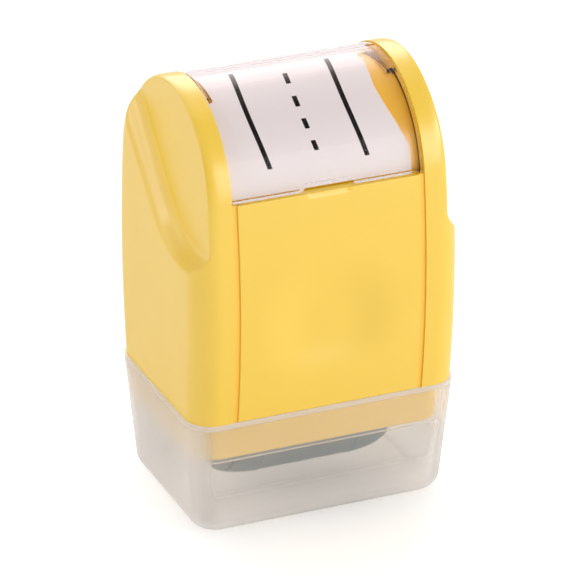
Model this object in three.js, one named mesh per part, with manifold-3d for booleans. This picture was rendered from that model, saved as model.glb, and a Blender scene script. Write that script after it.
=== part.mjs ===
import * as THREE from "three";
import { mergeVertices } from "three/addons/utils/BufferGeometryUtils.js";
import Module from "manifold-3d";

// Line roller stamp, in millimetres. +Z is up, +X is to the right, the front faces -Y,
// and the origin is the middle of the cap's underside.

// Whole object
const overallHeight = 74.5;
const bodyWidth = 46.6;
const capHeight = 20.8;
const seamGap = 0.3;
const overrun = 1;
const weldDistance = 0.0005;

// Body outline, seen from the side
const archLean = THREE.MathUtils.degToRad(7.6);
const panelEndThickness = 1.8;
const archSteps = 34;
const faceSteps = 8;

// Cheeks
const cheekThickness = 6.65;
const cheekWall = 1.7;
const cheekUpperWall = 1.9;
const cheekEdgeRadius = 4.5;
const cheekEdgeSteps = 7;
const grooveWidth = 0.6;
const grooveStepDepth = 0.5;
const tongueInset = 1.2;
const tongueThickness = 0.6;
const tongueReach = 0.9;
const recessDepth = 2.6;
const recessWallWidth = 2;
const recessWallSteps = 5;
const recessArcRadius = 23.3;
const recessArcY = -12.5;
const recessArcAboveArch = 14.4;
const recessFrontAngle = THREE.MathUtils.degToRad(-24);
const recessRunAngle = THREE.MathUtils.degToRad(50);
const recessArcSteps = 14;

// Tie rods between the cheeks
const rodRadius = 1.5;
const rodClearance = 0.15;
const rodY = 8;
const rodBossWall = 1.55;
const rodBossAboveDeck = 1.7;
const bossStandoff = 0.5;
const rodSteps = 20;

// Thumb dish in the front and back panels
const dishSideMargin = 3.45;
const dishWidestAboveFoot = 12.7;
const dishBottomAboveFoot = 6.9;
const dishTopBelowPanelTop = 9.8;
const dishDepth = 1.6;
const dishSteps = 44;
const nailScoopHeight = 0.7;
const nailScoopDepth = 0.6;

// Window
const windowInset = 0.2;
const windowThickness = 1.15;
const windowSideGap = 0.3;
const windowEndAboveArch = 2.2;
const windowSteps = 40;
const notchHalfWidth = 4.7;
const notchSlant = 1;
const notchHeight = 0.95;
const tabSpan = THREE.MathUtils.degToRad(17);
const tabDepth = 2.6;
const tabThickness = 0.85;
const tabSteps = 8;

// Label card and its bed
const cardThickness = 0.25;
const cardSideMargin = 0.2;
const cardEndAngle = THREE.MathUtils.degToRad(80);
const cardWaist = 3;
const cardTopInset = 2;
const cardWaistAngle = THREE.MathUtils.degToRad(27);
const cardFullAngle = THREE.MathUtils.degToRad(67);
const cardSteps = 40;
const bedThickness = 1.6;
const bedSteps = 32;

// Chassis, whose lower end is the collar inside the cap
const chassisCornerRadius = 3.6;
const chassisWall = 1.4;
const deckThickness = 1.6;
const collarBelowAxle = 1.4;
const cornerSteps = 6;

// Cap
const capSideFlare = 0.4;
const capFaceFlare = 0.1;
const capDraft = 1.65;
const capWall = 1.2;
const collarSeatWidth = 0.6;
const capCornerRadius = 4.6;
const capFootRadius = 2.6;
const capInnerFootRadius = 1.6;
const capFootSteps = 5;
const capCornerSteps = 7;
const pipRadius = 0.9;
const pipHeight = 0.25;
const pipBelowRim = 2.6;
const pipSteps = 12;

// Print roller
const rollerFloorGap = 2.5;
const rollerLipGap = 1.25;
const bandRadius = 11.1;
const bandThickness = 1.4;
const bandTaperLength = 4.5;
const bandTaperDrop = 0.7;
const bandTaperSteps = 4;
const lineHeight = 0.2;
const lineWidth = 0.5;
const lineSpacing = 8.4;
const dashCount = 16;
const dashShare = 0.42;
const fitGap = 0.2;
const coreWall = 1.4;
const hubWall = 1.3;
const webThickness = 1.6;
const endCapThickness = 1.2;
const endCapSetback = 0.3;
const endCapEdgeRadius = 1.1;
const rollerSteps = 56;

// Roller axle, bushes and clips
const axleRadius = 1.5;
const axleEndGap = 0.8;
const axleEndBeyondClip = 0.9;
const runningGap = 0.08;
const bushWall = 0.9;
const bushFlangeWall = 1.1;
const bushFlangeThickness = 0.3;
const bushLength = 2.4;
const clipThickness = 0.6;
const clipWall = 1.8;
const clipOpening = THREE.MathUtils.degToRad(70);
const clipGap = 0.2;
const smallSteps = 24;

// Ink roller
const inkRollerRadius = 6;
const inkRollGap = 0.4;
const foamThickness = 2.6;
const inkRollerEndGap = 1.6;
const inkAxleRadius = 1.2;
const inkSteps = 36;

// Cartridge
const plateThickness = 2;
const plateGap = 0.6;
const plateFootRadius = 5.5;
const plateFootSteps = 14;
const wingBottomAboveAxle = 1.3;
const wingTopAboveAxle = 9.9;
const wingShoulderHeight = 3.3;
const neckMargin = 3;
const lipThickness = 0.8;
const lipDrop = 0.5;
const lipHeight = 6.2;
const tankHeight = 5.2;
const tankWall = 1;
const tankAboveRoller = 0.6;
const dripSlotEndMargin = 5.1;
const dripSlotHalfWidth = 0.6;
const plugRadius = 2;
const plugHeadRadius = 3.4;
const plugHeadThickness = 0.8;
const plugLength = 1.8;

// Depths, from the print roller outwards
const lineRadius = bandRadius + lineHeight;
const lipInnerY = lineRadius + rollerLipGap;
const lipOuterY = lipInnerY + lipThickness;
const chassisHalfDepth = lipOuterY + seamGap + chassisWall;
const panelInnerY = chassisHalfDepth + seamGap;
const springY = panelInnerY + panelEndThickness;
const archRadius = springY / Math.cos(archLean);
const windowOuterRadius = archRadius - windowInset;
const windowInnerRadius = windowOuterRadius - windowThickness;
const cardOuterRadius = windowInnerRadius - seamGap;
const bedOuterRadius = cardOuterRadius - cardThickness - seamGap;
const bedInnerRadius = bedOuterRadius - bedThickness;

// Heights, from the cap's floor upwards and from the top downwards
const footZ = capHeight + seamGap;
const axleZ = capWall + rollerFloorGap + lineRadius;
const collarBottomZ = axleZ - collarBelowAxle;
const lipBottomZ = collarBottomZ - lipDrop;
const lipTopZ = lipBottomZ + lipHeight;
const collarSeatZ = collarBottomZ - seamGap;
const plateWingBottomZ = axleZ + wingBottomAboveAxle;
const plateWingTopZ = axleZ + wingTopAboveAxle;
const plateNeckZ = plateWingTopZ + wingShoulderHeight;
const inkRollerZ = axleZ + lineRadius + inkRollGap + inkRollerRadius;
const tankBottomZ = inkRollerZ + inkRollerRadius + tankAboveRoller;
const tankTopZ = tankBottomZ + tankHeight;
const plugHeadZ = tankTopZ + seamGap;
const plateTopZ = plugHeadZ + plugHeadThickness;
const chassisTopZ = plateTopZ + seamGap + deckThickness;
const rodBossRadius = rodRadius + rodClearance + rodBossWall;
const rodZ = chassisTopZ + rodBossAboveDeck + rodBossRadius;
const archZ = overallHeight - archRadius;
const springZ = archZ + archRadius * Math.sin(archLean);
const windowEndZ = archZ + windowEndAboveArch;
const panelTopZ = windowEndZ - seamGap;
const recessArcZ = archZ + recessArcAboveArch;
const dishWidestZ = footZ + dishWidestAboveFoot;
const dishBottomZ = footZ + dishBottomAboveFoot;
const dishTopZ = panelTopZ - dishTopBelowPanelTop;

// The shallow arc of the front and back faces
const faceRadius = (springZ - footZ) / 2 / Math.sin(archLean);
const faceCentreY = faceRadius * Math.cos(archLean) - springY;
const faceCentreZ = (springZ + footZ) / 2;
const faceFrontY = faceRadius - faceCentreY;

// Widths, from the cheeks inwards
const bodyHalfWidth = bodyWidth / 2;
const recessFloorX = bodyHalfWidth - recessDepth;
const rodHalfLength = recessFloorX - cheekUpperWall;
const chassisHalfWidth = bodyHalfWidth - cheekWall - seamGap;
const axleHalfLength = chassisHalfWidth - chassisWall - axleEndGap;
const clipX = axleHalfLength - axleEndBeyondClip - clipThickness;
const plateOuterX = clipX - clipGap;
const plateInnerX = plateOuterX - plateThickness;
const rollerEndX = plateInnerX - plateGap;
const endCapX = rollerEndX - endCapThickness;
const bandHalfWidth = endCapX - seamGap;
const bandTaperX = bandHalfWidth - bandTaperLength;
const inkRollerHalfWidth = plateInnerX - inkRollerEndGap;
const cheekInnerX = bodyHalfWidth - cheekThickness;
const panelHalfWidth = cheekInnerX - grooveWidth;
const dishHalfWidth = panelHalfWidth - dishSideMargin;
const windowHalfWidth = cheekInnerX - windowSideGap;
const tabInnerX = windowHalfWidth - tabThickness;
const tabSlotX = tabInnerX - seamGap;
const cardHalfWidth = tabSlotX - cardSideMargin;

// Radii inside the print roller
const bandInnerRadius = bandRadius - bandThickness;
const coreRadius = bandInnerRadius - fitGap;
const bushInnerRadius = axleRadius + runningGap;
const bushRadius = bushInnerRadius + bushWall;
const hubInnerRadius = bushRadius + fitGap;

// Materials
const yellowPlastic = { color: 0xf4d05c, roughness: 0.38 };
const clearPlastic = { color: 0xf2f4f4, roughness: 0.08, transparent: true, opacity: 0.3 };
const frostedPlastic = { color: 0xdfdbd5, roughness: 0.3, transparent: true, opacity: 0.5 };
const whiteCard = { color: 0xf8f6f4, roughness: 0.7 };
const whitePlastic = { color: 0xe8e6e1, roughness: 0.45 };
const greyRubber = { color: 0x6f7275, roughness: 0.6 };
const darkFoam = { color: 0x2b2d33, roughness: 0.95 };
const greyPlastic = { color: 0x8d9093, roughness: 0.5 };
const steel = { color: 0xb9bcc0, roughness: 0.3, metalness: 1 };

const library = await Module();
library.setup();

// A closed geometry as a solid. Faces that point inwards are turned round first.
function solid(geometry) {
  const bare = geometry.clone();
  bare.deleteAttribute("normal");
  bare.deleteAttribute("uv");
  const merged = mergeVertices(bare, weldDistance);
  const corners = merged.index.array;
  const places = merged.attributes.position;
  const a = new THREE.Vector3();
  const b = new THREE.Vector3();
  const c = new THREE.Vector3();
  let volume = 0;
  for (let i = 0; i < corners.length; i += 3) {
    a.fromBufferAttribute(places, corners[i]);
    b.fromBufferAttribute(places, corners[i + 1]);
    c.fromBufferAttribute(places, corners[i + 2]);
    volume += a.dot(b.cross(c));
  }
  const triangles = Uint32Array.from(corners);
  if (volume < 0) {
    for (let i = 0; i < triangles.length; i += 3) {
      [triangles[i], triangles[i + 1]] = [triangles[i + 1], triangles[i]];
    }
  }
  const vertices = Float32Array.from(places.array);
  return new library.Manifold(
    new library.Mesh({ numProp: 3, vertProperties: vertices, triVerts: triangles })
  );
}

function meshOf(name, shape, finish) {
  const faces = shape.getMesh();
  const geometry = new THREE.BufferGeometry();
  geometry.setAttribute("position", new THREE.BufferAttribute(faces.vertProperties, 3));
  geometry.setIndex(new THREE.BufferAttribute(faces.triVerts, 1));
  geometry.computeVertexNormals();
  const mesh = new THREE.Mesh(geometry, new THREE.MeshStandardMaterial(finish));
  mesh.name = name;
  return mesh;
}

// Rings of equal counts joined into one closed skin. Each ring is a list of points.
function loft(rings, flatten) {
  const count = rings[0].length;
  const places = rings.flat().flatMap((point) => point.toArray());
  const triangles = [];
  for (let level = 0; level + 1 < rings.length; level++) {
    for (let index = 0; index < count; index++) {
      const here = level * count + index;
      const beside = level * count + ((index + 1) % count);
      triangles.push(here, beside, beside + count);
      triangles.push(here, beside + count, here + count);
    }
  }
  const contour = rings[0].map(flatten);
  const turn = Math.sign(THREE.ShapeUtils.area(contour));
  const lastStart = (rings.length - 1) * count;
  closeEnd(triangles, contour, 0, -turn);
  closeEnd(triangles, rings.at(-1).map(flatten), lastStart, turn);
  const geometry = new THREE.BufferGeometry();
  geometry.setAttribute("position", new THREE.Float32BufferAttribute(places, 3));
  geometry.setIndex(triangles);
  return solid(geometry);
}

function closeEnd(triangles, contour, start, turn) {
  for (const [i, j, k] of THREE.ShapeUtils.triangulateShape(contour, [])) {
    const area = THREE.ShapeUtils.area([contour[i], contour[j], contour[k]]);
    if (area * turn > 0) {
      triangles.push(start + i, start + j, start + k);
    } else {
      triangles.push(start + i, start + k, start + j);
    }
  }
}

const sideView = (point) => new THREE.Vector2(point.y, point.z);
const frontView = (point) => new THREE.Vector2(point.x, point.z);
const planView = (point) => new THREE.Vector2(point.x, point.y);

// A side outline of [y, z] points, pushed along X from one place to another
function extrudeX(outline, fromX, toX) {
  const rings = [fromX, toX].map((x) => outline.map(([y, z]) => new THREE.Vector3(x, y, z)));
  return loft(rings, sideView);
}

// A front outline of [x, z] points, pushed along Y
function extrudeY(outline, fromY, toY) {
  const rings = [fromY, toY].map((y) => outline.map(([x, z]) => new THREE.Vector3(x, y, z)));
  return loft(rings, frontView);
}

function box(lowX, highX, lowY, highY, lowZ, highZ) {
  const geometry = new THREE.BoxGeometry(highX - lowX, highY - lowY, highZ - lowZ);
  geometry.translate((lowX + highX) / 2, (lowY + highY) / 2, (lowZ + highZ) / 2);
  return solid(geometry);
}

// A closed profile of [radius, x] points, turned about a line along X
function turnedX(profile, z, steps) {
  const points = [...profile, profile[0]].map(([radius, x]) => new THREE.Vector2(radius, x));
  const geometry = new THREE.LatheGeometry(points, steps);
  geometry.rotateZ(-Math.PI / 2);
  geometry.translate(0, 0, z);
  return solid(geometry);
}

function rodX(radius, fromX, toX, y, z, steps) {
  const geometry = new THREE.CylinderGeometry(radius, radius, Math.abs(toX - fromX), steps);
  geometry.rotateZ(-Math.PI / 2);
  geometry.translate((fromX + toX) / 2, y, z);
  return solid(geometry);
}

function rodUp(radius, fromZ, toZ, x, y, steps) {
  const geometry = new THREE.CylinderGeometry(radius, radius, toZ - fromZ, steps);
  geometry.rotateX(Math.PI / 2);
  geometry.translate(x, y, (fromZ + toZ) / 2);
  return solid(geometry);
}

function tubeX(outer, inner, fromX, toX, z, steps) {
  return turnedX([[inner, fromX], [outer, fromX], [outer, toX], [inner, toX]], z, steps);
}

// Points of an arc in a side view: angle 0 is straight up, positive towards the front
function arc(radius, centreY, centreZ, fromAngle, toAngle, steps) {
  return Array.from({ length: steps + 1 }, (_, step) => {
    const angle = fromAngle + ((toAngle - fromAngle) * step) / steps;
    return [centreY - radius * Math.sin(angle), centreZ + radius * Math.cos(angle)];
  });
}

// Body outline set in by a distance: the arch on top and the two bowed faces. It runs on
// past the foot, where each piece is cut level.
function bodyOutline(inset) {
  const quarter = Math.PI / 2;
  const lean = archLean;
  const faceR = faceRadius - inset;
  const front = arc(faceR, faceCentreY, faceCentreZ, quarter - lean, quarter + lean, faceSteps);
  const back = front.map(([y, z]) => [-y, z]).reverse();
  const top = arc(archRadius - inset, 0, archZ, lean - quarter, quarter - lean, archSteps);
  const lowZ = footZ - inset - overrun;
  const frontFoot = [front.at(-1)[0], lowZ];
  const backFoot = [-front.at(-1)[0], lowZ];
  return [backFoot, ...back.slice(0, -1), ...top, ...front.slice(1), frontFoot];
}

function bodySection(x, inset) {
  return bodyOutline(inset).map(([y, z]) => new THREE.Vector3(x, y, z));
}

// Everything between two heights, wider than the body
function levelSlab(lowZ, highZ) {
  return box(-bodyWidth, bodyWidth, -bodyWidth, bodyWidth, lowZ, highZ);
}

// Lower edge of the scooped recess in a cheek, moved into the recess by a distance
function recessOutline(shift) {
  const radius = recessArcRadius - shift;
  const runStart = Math.PI / 2 - recessRunAngle;
  const sweep = recessRunAngle - recessFrontAngle;
  const edge = Array.from({ length: recessArcSteps + 1 }, (_, step) => {
    const angle = recessFrontAngle + (sweep * step) / recessArcSteps;
    return [recessArcY + radius * Math.sin(angle), recessArcZ - radius * Math.cos(angle)];
  });
  const [lastY, lastZ] = edge.at(-1);
  const runEndY = lastY + overallHeight * Math.sin(runStart);
  const runEndZ = lastZ + overallHeight * Math.cos(runStart);
  const topZ = runEndZ + overrun;
  const frontY = -bodyWidth;
  return [...edge, [runEndY, runEndZ], [runEndY, topZ], [frontY, topZ], [frontY, edge[0][1]]];
}

function recessCutter(side) {
  const rings = [];
  for (let step = 0; step <= recessWallSteps; step++) {
    const share = step / recessWallSteps;
    const depth = recessDepth * Math.sin((share * Math.PI) / 2);
    rings.push({ x: bodyHalfWidth - depth, shift: recessWallWidth * share });
  }
  rings.unshift({ x: bodyHalfWidth + overrun, shift: 0 });
  const sections = rings.map(({ x, shift }) =>
    recessOutline(shift).map(([y, z]) => new THREE.Vector3(side * x, y, z))
  );
  return loft(sections, sideView);
}

// The rounded outer form of a cheek, before it is hollowed
function cheekBlock(side) {
  const sections = [bodySection(side * cheekInnerX, 0)];
  for (let step = 0; step <= cheekEdgeSteps; step++) {
    const angle = (step / cheekEdgeSteps) * (Math.PI / 2);
    const x = bodyHalfWidth - cheekEdgeRadius * (1 - Math.sin(angle));
    sections.push(bodySection(side * x, cheekEdgeRadius * (1 - Math.cos(angle))));
  }
  return loft(sections, sideView);
}

function cheekHollow(side, depthX) {
  const corner = cheekEdgeRadius - cheekWall;
  const openX = cheekInnerX - overrun;
  const levels = [
    [openX, 0], [depthX - corner, 0], [depthX - corner / 2, corner / 4], [depthX, corner]
  ];
  return loft(levels.map(([x, more]) => bodySection(side * x, cheekWall + more)), sideView);
}

// A thin edge that reaches behind the front and back panels and closes the grooves, with a
// narrow step in front of it that leaves the grooves shallow
function cheekTongue(side) {
  const tongueX = cheekInnerX - tongueReach - grooveWidth;
  const stepX = panelHalfWidth + seamGap;
  const endX = cheekInnerX + overrun;
  const ring = (inset, low, high) =>
    loft([bodySection(side * low, inset), bodySection(side * high, inset)], sideView);
  return ring(tongueInset, tongueX, endX)
    .add(ring(grooveStepDepth, stepX, endX))
    .subtract(ring(tongueInset + tongueThickness, tongueX - overrun, endX + overrun))
    .intersect(levelSlab(footZ, panelTopZ));
}

function addRodSockets(shape, side) {
  const bossEndX = cheekInnerX + bossStandoff;
  const bossRootX = recessFloorX - cheekUpperWall / 2;
  const openX = cheekInnerX - overrun;
  const socketEndX = rodHalfLength + rodClearance;
  for (const y of [-rodY, rodY]) {
    shape = shape.add(rodX(rodBossRadius, side * bossEndX, side * bossRootX, y, rodZ, rodSteps));
    const socketRadius = rodRadius + rodClearance;
    shape = shape.subtract(rodX(socketRadius, side * openX, side * socketEndX, y, rodZ, rodSteps));
  }
  return shape;
}

function cheek(side) {
  const pocketTopZ = chassisTopZ + seamGap;
  const upperHollow = cheekHollow(side, recessFloorX - cheekUpperWall);
  const lowerHollow = cheekHollow(side, bodyHalfWidth - cheekWall)
    .intersect(levelSlab(-overrun, pocketTopZ));
  const shell = cheekBlock(side)
    .subtract(upperHollow)
    .subtract(lowerHollow)
    .subtract(levelSlab(-overrun, footZ))
    .subtract(recessCutter(side))
    .add(cheekTongue(side));
  return addRodSockets(shell, side);
}

function tieRod(y) {
  return rodX(rodRadius, -rodHalfLength, rodHalfLength, y, rodZ, rodSteps);
}

// Outline of the thumb dish as a share of its full size: flat below, domed above
function dishOutline(share) {
  const lowerPower = 3.5;
  const upperPower = 2.3;
  return Array.from({ length: dishSteps }, (_, step) => {
    const angle = (step / dishSteps) * Math.PI * 2;
    const upper = Math.sin(angle) >= 0;
    const power = upper ? upperPower : lowerPower;
    const height = upper ? dishTopZ - dishWidestZ : dishWidestZ - dishBottomZ;
    const across = Math.sign(Math.cos(angle)) * Math.abs(Math.cos(angle)) ** (2 / power);
    const rise = Math.sign(Math.sin(angle)) * Math.abs(Math.sin(angle)) ** (2 / power);
    return [dishHalfWidth * across * share, dishWidestZ + height * rise * share];
  });
}

function dishCutter(side) {
  const shares = [1, 0.94, 0.84, 0.68, 0.45];
  const rings = [[1, faceFrontY + overrun]];
  for (const share of shares) {
    const depth = dishDepth * Math.cos((share * Math.PI) / 2);
    rings.push([share, faceFrontY - depth * fullDepthShare(shares.at(-1))]);
  }
  const sections = rings.map(([share, y]) =>
    dishOutline(share).map(([x, z]) => new THREE.Vector3(x, side * y, z))
  );
  return loft(sections, frontView);
}

function fullDepthShare(innermostShare) {
  return 1 / Math.cos((innermostShare * Math.PI) / 2);
}

// The step along a panel's side edge that makes room for the cheek's tongue
function panelRabbet(side) {
  const fromX = cheekInnerX - tongueReach - grooveWidth - seamGap;
  const inset = tongueInset - seamGap;
  const sections = [fromX, cheekInnerX].map((x) => bodySection(side * x, inset));
  return loft(sections, sideView);
}

function panel(side) {
  const quarter = Math.PI / 2;
  const face = arc(
    faceRadius, faceCentreY, faceCentreZ, quarter - archLean, quarter + archLean, faceSteps * 2
  );
  const outline = [
    ...face.map(([y, z]) => [-side * y, z]),
    [side * panelInnerY, footZ],
    [side * panelInnerY, springZ]
  ];
  return extrudeX(outline, -panelHalfWidth, panelHalfWidth)
    .subtract(levelSlab(panelTopZ, overallHeight))
    .subtract(panelRabbet(-1))
    .subtract(panelRabbet(1))
    .subtract(dishCutter(side));
}

// The front panel also has a small nail scoop under the window's notch
function frontPanel() {
  const halfWidth = notchHalfWidth - notchSlant;
  const scoop = box(
    -halfWidth, halfWidth, -springY - overrun, nailScoopDepth - springY,
    panelTopZ - nailScoopHeight, panelTopZ + overrun
  );
  return panel(-1).subtract(scoop);
}

function nailNotch() {
  const topHalf = notchHalfWidth - notchSlant;
  const topZ = windowEndZ + notchHeight;
  const outline = [
    [-notchHalfWidth, windowEndZ - overrun], [notchHalfWidth, windowEndZ - overrun],
    [notchHalfWidth, windowEndZ], [topHalf, topZ], [-topHalf, topZ], [-notchHalfWidth, windowEndZ]
  ];
  return extrudeY(outline, -bodyWidth, 0);
}

function windowHood() {
  const half = Math.PI / 2;
  const outer = arc(windowOuterRadius, 0, archZ, -half, half, windowSteps);
  const inner = arc(windowInnerRadius, 0, archZ, half, -half, windowSteps);
  const tab = [
    ...arc(windowInnerRadius + windowThickness / 2, 0, archZ, -tabSpan, tabSpan, tabSteps),
    ...arc(windowInnerRadius - tabDepth, 0, archZ, tabSpan, -tabSpan, tabSteps)
  ];
  return extrudeX([...outer, ...inner], -windowHalfWidth, windowHalfWidth)
    .subtract(levelSlab(0, windowEndZ))
    .subtract(nailNotch())
    .add(extrudeX(tab, -windowHalfWidth, -tabInnerX))
    .add(extrudeX(tab, tabInnerX, windowHalfWidth));
}

// Right-hand edge of the card: trimmed to a shallow waist over the top
function cardRightX(angle) {
  const turn = Math.abs(angle);
  if (turn < cardWaistAngle) {
    const share = turn / cardWaistAngle;
    return cardHalfWidth - cardTopInset - (cardWaist - cardTopInset) * share;
  }
  if (turn < cardFullAngle) {
    const share = (turn - cardWaistAngle) / (cardFullAngle - cardWaistAngle);
    return cardHalfWidth - cardWaist * (1 - share);
  }
  return cardHalfWidth;
}

function labelCard() {
  const rings = [];
  for (let step = 0; step <= cardSteps; step++) {
    const angle = -cardEndAngle + (2 * cardEndAngle * step) / cardSteps;
    const across = [-cardHalfWidth, cardRightX(angle)];
    const out = [cardOuterRadius - cardThickness, cardOuterRadius];
    const corner = (x, radius) =>
      new THREE.Vector3(x, -radius * Math.sin(angle), archZ + radius * Math.cos(angle));
    rings.push([
      corner(across[0], out[0]), corner(across[1], out[0]),
      corner(across[1], out[1]), corner(across[0], out[1])
    ]);
  }
  const endView = (point) => {
    const height = Math.hypot(point.y, point.z - archZ);
    return new THREE.Vector2(point.x, height);
  };
  return loft(rings, endView);
}

// The room in the bed's side edge for one of the window's tabs
function tabSlot(side) {
  const halfSpan = tabSpan + seamGap / bedInnerRadius;
  const outline = [
    ...arc(bedOuterRadius + overrun, 0, archZ, -halfSpan, halfSpan, tabSteps),
    ...arc(bedInnerRadius - overrun, 0, archZ, halfSpan, -halfSpan, tabSteps)
  ];
  return extrudeX(outline, side * tabSlotX, side * (windowHalfWidth + overrun));
}

function labelBed() {
  const half = Math.PI / 2;
  const outer = arc(bedOuterRadius, 0, archZ, -half, half, bedSteps);
  const inner = arc(bedInnerRadius, 0, archZ, half, -half, bedSteps);
  const outline = [
    ...outer, [-bedOuterRadius, 0], [-bedInnerRadius, 0],
    ...inner, [bedInnerRadius, 0], [bedOuterRadius, 0]
  ];
  return extrudeX(outline, -windowHalfWidth, windowHalfWidth)
    .subtract(levelSlab(-overrun, chassisTopZ + seamGap))
    .subtract(tabSlot(-1))
    .subtract(tabSlot(1));
}

// Rounded rectangle as [x, y] points, anticlockwise from above
function roundedRectangle(halfWidth, halfDepth, radius, steps) {
  const corners = [[1, 1], [-1, 1], [-1, -1], [1, -1]];
  return corners.flatMap(([sideX, sideY], corner) =>
    Array.from({ length: steps + 1 }, (_, step) => {
      const angle = ((corner + step / steps) * Math.PI) / 2;
      return [
        sideX * (halfWidth - radius) + radius * Math.cos(angle),
        sideY * (halfDepth - radius) + radius * Math.sin(angle)
      ];
    })
  );
}

function sleeve(levels) {
  const rings = levels.map(({ z, halfWidth, halfDepth, radius, steps }) =>
    roundedRectangle(halfWidth, halfDepth, radius, steps).map(([x, y]) => new THREE.Vector3(x, y, z))
  );
  return loft(rings, planView);
}

function chassis() {
  const outer = (z) => ({
    z,
    halfWidth: chassisHalfWidth,
    halfDepth: chassisHalfDepth,
    radius: chassisCornerRadius,
    steps: cornerSteps
  });
  const inner = (z) => ({
    z,
    halfWidth: chassisHalfWidth - chassisWall,
    halfDepth: chassisHalfDepth - chassisWall,
    radius: chassisCornerRadius - chassisWall,
    steps: cornerSteps
  });
  const hollow = sleeve([inner(collarBottomZ - overrun), inner(chassisTopZ - deckThickness)]);
  return sleeve([outer(collarBottomZ), outer(chassisTopZ)]).subtract(hollow);
}

// Plan of the cap at a height, set in by a distance
function capLevel(z, inset) {
  const draft = capDraft * (1 - z / capHeight);
  return {
    z,
    halfWidth: bodyHalfWidth + capSideFlare - draft - inset,
    halfDepth: springY + capFaceFlare - draft - inset,
    radius: capCornerRadius - inset,
    steps: capCornerSteps
  };
}

// The cap is thicker below the ledge on which the collar rests
function cap() {
  const rounded = (floorZ, inset, radius) =>
    Array.from({ length: capFootSteps + 1 }, (_, step) => {
      const angle = (step / capFootSteps) * (Math.PI / 2);
      const z = floorZ + radius * (1 - Math.cos(angle));
      return capLevel(z, inset + radius * (1 - Math.sin(angle)));
    });
  const outer = sleeve([...rounded(0, 0, capFootRadius), capLevel(capHeight, 0)]);
  const lowerInset = capWall + collarSeatWidth;
  const inner = sleeve([
    ...rounded(capWall, lowerInset, capInnerFootRadius), capLevel(collarSeatZ, lowerInset),
    capLevel(collarSeatZ, capWall), capLevel(capHeight + overrun, capWall)
  ]);
  const pipZ = capHeight - pipBelowRim;
  const wallX = capLevel(pipZ, capWall).halfWidth;
  const pip = (fromX, toX) => rodX(pipRadius, fromX, toX, 0, pipZ, pipSteps);
  return outer
    .subtract(inner)
    .add(pip(wallX - pipHeight, wallX + capWall / 2))
    .add(pip(-wallX - capWall / 2, pipHeight - wallX));
}

function rollerCore() {
  const half = webThickness / 2;
  const rimIn = coreRadius - coreWall;
  const hubOut = hubInnerRadius + hubWall;
  const profile = [
    [hubInnerRadius, -bandHalfWidth], [hubOut, -bandHalfWidth], [hubOut, -half],
    [rimIn, -half], [rimIn, -bandHalfWidth], [coreRadius, -bandHalfWidth],
    [coreRadius, bandHalfWidth], [rimIn, bandHalfWidth], [rimIn, half],
    [hubOut, half], [hubOut, bandHalfWidth], [hubInnerRadius, bandHalfWidth]
  ];
  return turnedX(profile, axleZ, rollerSteps);
}

function stampBand() {
  const ridges = [-lineSpacing, lineSpacing].flatMap((x) => [
    [bandRadius, x - lineWidth / 2], [lineRadius, x - lineWidth / 2],
    [lineRadius, x + lineWidth / 2], [bandRadius, x + lineWidth / 2]
  ]);
  const taper = Array.from({ length: bandTaperSteps + 1 }, (_, step) => {
    const share = step / bandTaperSteps;
    return [bandRadius - bandTaperDrop * share ** 2, bandTaperX + bandTaperLength * share];
  });
  const profile = [
    [bandInnerRadius, -bandHalfWidth], ...taper.map(([radius, x]) => [radius, -x]).reverse(),
    ...ridges, ...taper, [bandInnerRadius, bandHalfWidth]
  ];
  let shape = turnedX(profile, axleZ, rollerSteps);
  const rootRadius = bandRadius - bandThickness / 2;
  for (let dash = 0; dash < dashCount; dash++) {
    const middle = (dash / dashCount) * Math.PI * 2;
    const spread = (dashShare * Math.PI) / dashCount;
    const outline = [
      ...arc(lineRadius, 0, axleZ, middle - spread, middle + spread, 2),
      ...arc(rootRadius, 0, axleZ, middle + spread, middle - spread, 2)
    ];
    shape = shape.add(extrudeX(outline, -lineWidth / 2, lineWidth / 2));
  }
  return shape;
}

function rollerEndCap(side) {
  const seatRadius = bushRadius + fitGap;
  const outerRadius = bandRadius - bandTaperDrop - endCapSetback;
  const edgeSteps = 4;
  const edge = Array.from({ length: edgeSteps + 1 }, (_, step) => {
    const angle = (step / edgeSteps) * (Math.PI / 2);
    return [
      outerRadius - endCapEdgeRadius * (1 - Math.cos(angle)),
      side * (rollerEndX - endCapEdgeRadius * (1 - Math.sin(angle)))
    ];
  });
  const profile = [
    [seatRadius, side * endCapX], [outerRadius, side * endCapX], ...edge,
    [seatRadius, side * rollerEndX]
  ];
  return turnedX(profile, axleZ, rollerSteps);
}

function rollerBush(side) {
  const flangeX = rollerEndX + bushFlangeThickness;
  const flangeRadius = bushRadius + bushFlangeWall;
  const seatX = rollerEndX + bushFlangeThickness / 3;
  const profile = [
    [bushInnerRadius, side * (flangeX - bushLength)], [bushRadius, side * (flangeX - bushLength)],
    [bushRadius, side * seatX], [flangeRadius, side * seatX],
    [flangeRadius, side * flangeX], [bushInnerRadius, side * flangeX]
  ];
  return turnedX(profile, axleZ, smallSteps);
}

function rollerAxle() {
  return rodX(axleRadius, -axleHalfLength, axleHalfLength, 0, axleZ, smallSteps);
}

function axleClip(side) {
  const inner = axleRadius + runningGap;
  const outer = inner + clipWall;
  const from = Math.PI + clipOpening / 2;
  const to = 3 * Math.PI - clipOpening / 2;
  const outline = [
    ...arc(outer, 0, axleZ, from, to, smallSteps), ...arc(inner, 0, axleZ, to, from, smallSteps)
  ];
  return extrudeX(outline, side * clipX, side * (clipX + clipThickness));
}

function inkSleeve() {
  const inner = inkRollerRadius - foamThickness;
  return tubeX(
    inkRollerRadius, inner, -inkRollerHalfWidth, inkRollerHalfWidth, inkRollerZ, inkSteps
  );
}

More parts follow.
